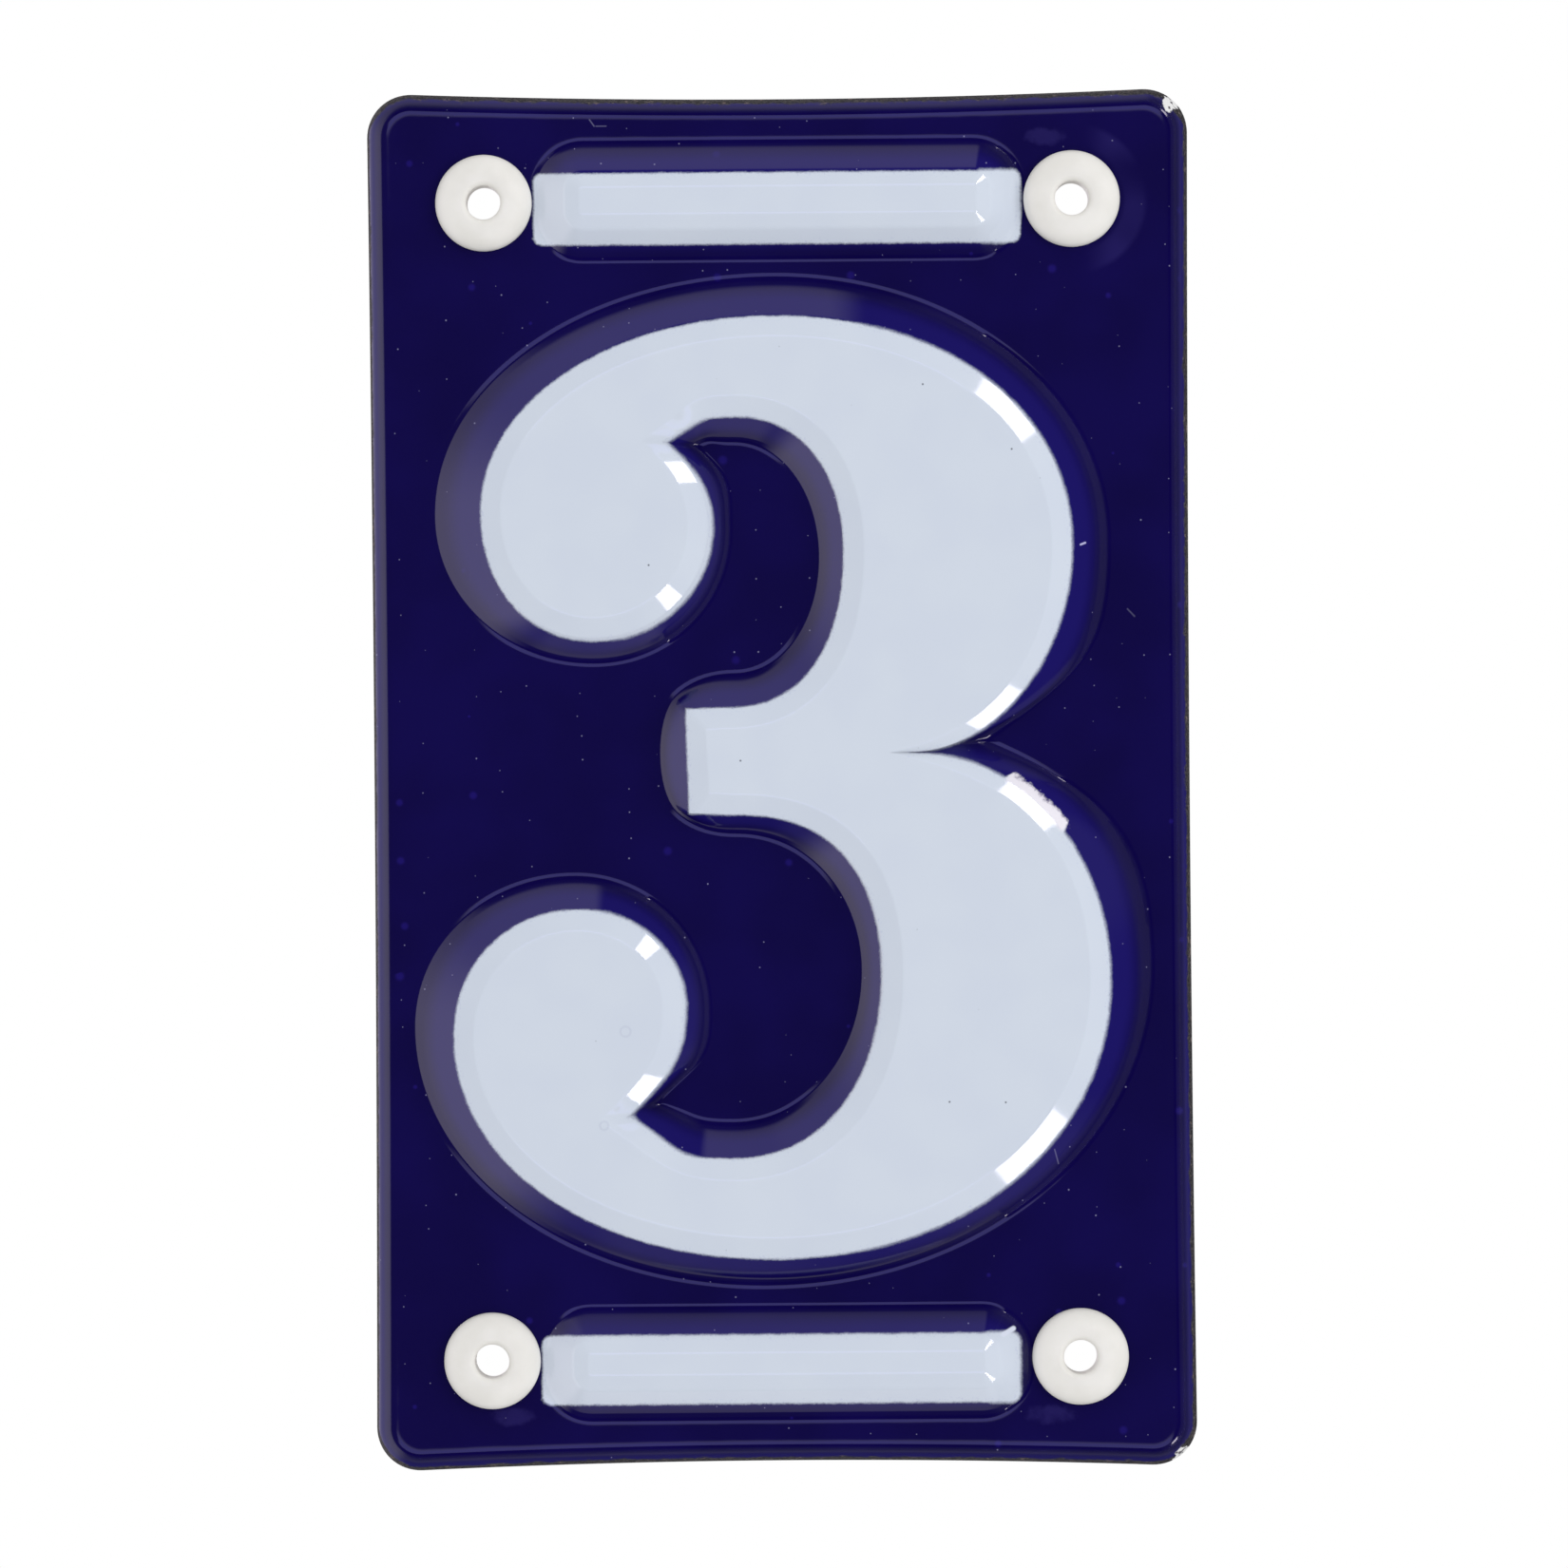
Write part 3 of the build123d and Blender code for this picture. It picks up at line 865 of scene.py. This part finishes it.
# %% Coat the back
GROUND, SPECK = srgb(44, 43, 48), srgb(130, 126, 128)
shader, place = start_finish(plaque.data.materials[1])
speckle = place.noise(2600, 3).ramp(0.58, 0.68)
feed(shader, {
    "Base Color": speckle.colour_mix(GROUND, SPECK),
    "Roughness": 0.35,
    "Normal": place.noise(2000, 3).bump(0.3, 0.1 * MM),
})
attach(plaque, "root")
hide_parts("plaque")
print("plaque finished with", len(plaque.data.materials), "materials")

# %% [markdown]
# ## The grommets
# Each grommet is a small turned shape: a domed flange with a soft lip round the screw hole, a neck in the
# sheet's hole and a flange behind. Spinning its section round the hole's axis is how a turner would make
# it. One is spun, and the others are copies with meshes of their own.

# %% Draw a grommet's section
BORE, NECK, FLANGE, BACK_FLANGE = 1.85, 3.0, 5.25, 4.2
EDGE_DEPTH, DOME_HEIGHT, LIP_RADIUS = 3.45, 1.55, 0.6
# What is taken off the corners of the back flange and of the front flange
BACK_CORNER, FRONT_CORNER = 0.2, 0.08
DOME_STEPS, LIP_STEPS = 18, 8
sheet_back = FIELD_DEPTH - SHEET_THICKNESS
crown = BORE + LIP_RADIUS
lip_depth = EDGE_DEPTH + DOME_HEIGHT - LIP_RADIUS
# Radius and depth, from the wall to the dome and into the hole
section = [(BORE, 0.0), (BACK_FLANGE - BACK_CORNER, 0.0), (BACK_FLANGE, BACK_CORNER)]
section += [(BACK_FLANGE, sheet_back), (NECK, sheet_back), (NECK, FIELD_DEPTH)]
section += [(FLANGE - FRONT_CORNER, FIELD_DEPTH), (FLANGE, FIELD_DEPTH + FRONT_CORNER)]
for step in range(DOME_STEPS + 1):
    angle = math.radians(step * 90 / DOME_STEPS)
    section.append((crown + (FLANGE - crown) * math.cos(angle), EDGE_DEPTH + DOME_HEIGHT * math.sin(angle)))
for step in range(1, LIP_STEPS + 1):
    angle = math.radians(90 + step * 90 / LIP_STEPS)
    section.append((crown + LIP_RADIUS * math.cos(angle), lip_depth + LIP_RADIUS * math.sin(angle)))
print("grommet section:", len(section), "points")

# %% Spin a grommet
SPIN_STEPS, MERGE_DISTANCE, GROMMET_SMOOTH_ANGLE = 96, 1e-6, 40
grommet_mesh = bpy.data.meshes.new("grommet")
points = [(radius * MM, -depth * MM, 0.0) for radius, depth in section]
grommet_mesh.from_pydata(points, [(k, (k + 1) % len(points)) for k in range(len(points))], [])
grommet = bpy.data.objects.new("grommet", grommet_mesh)
bpy.context.collection.objects.link(grommet)
bpy.ops.object.select_all(action="DESELECT")
grommet.select_set(True)
bpy.context.view_layer.objects.active = grommet
bpy.ops.object.mode_set(mode="EDIT")
bpy.ops.mesh.select_all(action="SELECT")
bpy.ops.mesh.spin(steps=SPIN_STEPS, angle=math.tau, center=(0, 0, 0), axis=(0, 1, 0))
bpy.ops.mesh.select_all(action="SELECT")
bpy.ops.mesh.remove_doubles(threshold=MERGE_DISTANCE)
bpy.ops.mesh.normals_make_consistent(inside=False)
bpy.ops.object.mode_set(mode="OBJECT")
bpy.ops.object.shade_smooth_by_angle(angle=math.radians(GROMMET_SMOOTH_ANGLE))
print("grommet:", len(grommet.data.polygons), "faces")

# %% [markdown]
# ## Plastic
# The grommets are moulded in creamy white plastic with a satin skin. A plain colour would do from afar. The
# slight change of shade and gloss and the fine bump keep it from shining like the enamel beside it.

# %% Colour the plastic and set a grommet in each hole
GROMMETS = {
    "top_left_grommet": (-1, 1), "top_right_grommet": (1, 1),
    "bottom_left_grommet": (-1, -1), "bottom_right_grommet": (1, -1),
}
CREAM_SHADES = (srgb(228, 226, 221), srgb(234, 232, 228))
plastic = bpy.data.materials.new("white_grommet_plastic")
shader, place = start_finish(plastic)
feed(shader, {
    "Base Color": place.noise(300, 3).ramp(0.3, 0.7).colour_mix(*CREAM_SHADES),
    "Roughness": place.noise(900, 2).ramp(0.2, 0.8) * 0.08 + 0.34,
    "Normal": place.noise(3000, 2).bump(0.1, 0.05 * MM),
})
grommet.data.materials.append(plastic)
for node_name, (side, end) in GROMMETS.items():
    piece = bpy.data.objects.new(node_name + "_moulded", grommet.data.copy())
    bpy.context.collection.objects.link(piece)
    for vertex in piece.data.vertices:
        vertex.co.x += side * HOLE_X * MM
        vertex.co.z += end * HOLE_Z * MM
    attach(piece, "root")
    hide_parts(node_name)
bpy.data.objects.remove(grommet)
print("grommets set:", ", ".join(GROMMETS))

# %% [markdown]
# ## Camera
# The photograph was taken square on, from about a metre. The plaque leans by a hair, so the camera rolls
# the other way. The lens follows from the distance and from the width that the frame takes in.

# %% Set the camera
CAMERA_DISTANCE, SENSOR_WIDTH = 1.0, 36
FRAME_PIXELS, MM_PER_PIXEL = 1650, 0.10345
# In millimetres and degrees
CAMERA_X, CAMERA_Z, CAMERA_ROLL = 0.207, -0.466, 0.45
camera_data = bpy.data.cameras.new("camera")
camera_data.sensor_width = SENSOR_WIDTH
camera_data.lens = SENSOR_WIDTH * CAMERA_DISTANCE / (FRAME_PIXELS * MM_PER_PIXEL * MM)
camera = bpy.data.objects.new("camera", camera_data)
camera.location = (CAMERA_X * MM, -CAMERA_DISTANCE - FIELD_DEPTH * MM, CAMERA_Z * MM)
camera.rotation_euler = (math.pi / 2, math.radians(CAMERA_ROLL), 0)
bpy.context.collection.objects.link(camera)
bpy.context.scene.camera = camera
print("lens:", round(camera_data.lens, 1), "mm")

# %% [markdown]
# ## Studio light
# Gloss shows what stands round the camera, so the studio matters as much as the paint. On a product table
# there would be a dim room, a large white wall at the left that reaches over the top, a low card below, two
# bluish strips close to the lens that show along the creases, and two small softboxes at the right. Lamps
# could stand for them, but lamps that meet leave seams in such clean gloss. So they are drawn on the world,
# by direction: how far off the camera's axis a ray goes, and how far round from the left. Only gloss sees
# them. The camera sees plain white, and the paint itself is lit by an even sky and one soft lamp.

# %% Find the direction of a ray
DEGREES = 180 / math.pi
scene = bpy.context.scene
scene.view_settings.view_transform = "Standard"
world = bpy.data.worlds.new("studio")
scene.world = world
world.use_nodes = True
background = world.node_tree.nodes["Background"]
light_path = world.node_tree.nodes.new("ShaderNodeLightPath")
seen = Wire(light_path.outputs["Is Camera Ray"]).most(Wire(light_path.outputs["Is Transmission Ray"]))
glossy = Wire(light_path.outputs["Is Glossy Ray"])
ray = seen.node("ShaderNodeTexCoord", output="Generated")
ray_x, ray_y, ray_z = ray.parts()
off_axis = ray.math("ARCCOSINE", 0 - ray_y) * DEGREES
# 0 is left, 90 is up and -90 is down
from_left = ray.math("ARCTAN2", ray_z, 0 - ray_x) * DEGREES
to_either = ray.math("ABSOLUTE", from_left)
print("nodes that find a ray's direction:", len(world.node_tree.nodes))

# %% Draw the studio on the world
CARD_LIGHT, STRIP_LIGHT, SOFTBOX_LIGHT, BEHIND_LIGHT = 0.62, 1.9, 11, 0.25
ROOM_LIGHT, HAZE_LIGHT, RIGHT_LIGHT, FAR_RIGHT_LIGHT = 0.045, 0.045, 0.13, 0.22
AMBIENT = 0.87
WHITE, ROOM_TINT, STRIP_TINT = (1, 1, 1, 1), (1.0, 0.92, 1.02, 1), (0.4, 0.38, 1.0, 1)
up = from_left.ramp(30, 75)
wall = from_left.band(-66, -44, 97, 103) * off_axis.ramp(36 + up * 16, 46 + up * 28)
wall = wall * (1.6 - from_left.ramp(2, 45) * 0.85) * (1 - off_axis.ramp(70, 110) * 0.5)
low_card = from_left.band(-128, -116, -74, -54) * off_axis.band(65, 69, 76, 83.5) * CARD_LIGHT
strips = to_either.band(36, 48, 122, 132) * off_axis.band(5.5, 7.5, 17, 21)
softboxes = to_either.band(127.5, 128.2, 141.8, 142.5) * off_axis.band(26.0, 26.4, 36.3, 36.7)
right_room = off_axis.band(18, 24, 58, 67) * RIGHT_LIGHT + off_axis.band(76, 80, 95, 110) * FAR_RIGHT_LIGHT
right_room = to_either.ramp(100, 125) * right_room
room = off_axis.ramp(36, 46) * ROOM_LIGHT
haze = off_axis.ramp(9, 5).most(to_either.ramp(60, 45) * off_axis.ramp(60, 40)) * HAZE_LIGHT
# A little light from behind the plaque, for views of its back
behind = ray_y.ramp(0.75, 0.95) * BEHIND_LIGHT
studio = wall + low_card + strips * STRIP_LIGHT + softboxes * SOFTBOX_LIGHT
studio = studio + right_room + room + haze + behind
strength = seen + (1 - seen) * (glossy * studio + (1 - glossy) * AMBIENT)
sky = glossy.colour_mix(WHITE, strips.colour_mix(ROOM_TINT, STRIP_TINT))
world.node_tree.links.new(strength.socket, background.inputs["Strength"])
world.node_tree.links.new(sky.socket, background.inputs["Color"])
print("world nodes:", len(world.node_tree.nodes))

# %% [markdown]
# ## Floor and lamp
# The plaque is shown upright against white, so the floor lies well below it. The floor is hidden from gloss,
# or it would light the lower slopes. One large soft lamp at the right gives the paint and the grommets a
# little shape. A sun would do that too, but with hard shadows.

# %% Lay the floor and hang the lamp
FLOOR_SIZE, FLOOR_Z = 1.0, -0.6
FLOOR_SHADES = (srgb(240, 240, 240), srgb(244, 244, 244))
LAMP_SIZE, LAMP_ENERGY, LAMP_PLACE = 0.8, 4.2, (0.9, -0.8, 0.25)
bpy.ops.mesh.primitive_plane_add(size=FLOOR_SIZE, location=(0, 0, FLOOR_Z))
floor = bpy.context.object
floor.name = "floor"
floor_paint = bpy.data.materials.new("floor_paint")
shader, place = start_finish(floor_paint)
feed(shader, {"Base Color": place.noise(4, 2).colour_mix(*FLOOR_SHADES), "Roughness": 0.7})
floor.data.materials.append(floor_paint)
floor.visible_glossy = False
lamp = bpy.data.lights.new("soft_lamp", "AREA")
lamp.size = LAMP_SIZE
lamp.energy = LAMP_ENERGY
soft_lamp = bpy.data.objects.new("soft_lamp", lamp)
soft_lamp.location = LAMP_PLACE
soft_lamp.rotation_euler = (-soft_lamp.location).to_track_quat("-Z", "Y").to_euler()
soft_lamp.visible_glossy = False
bpy.context.collection.objects.link(soft_lamp)
print("lamp at", [round(value, 2) for value in soft_lamp.location])
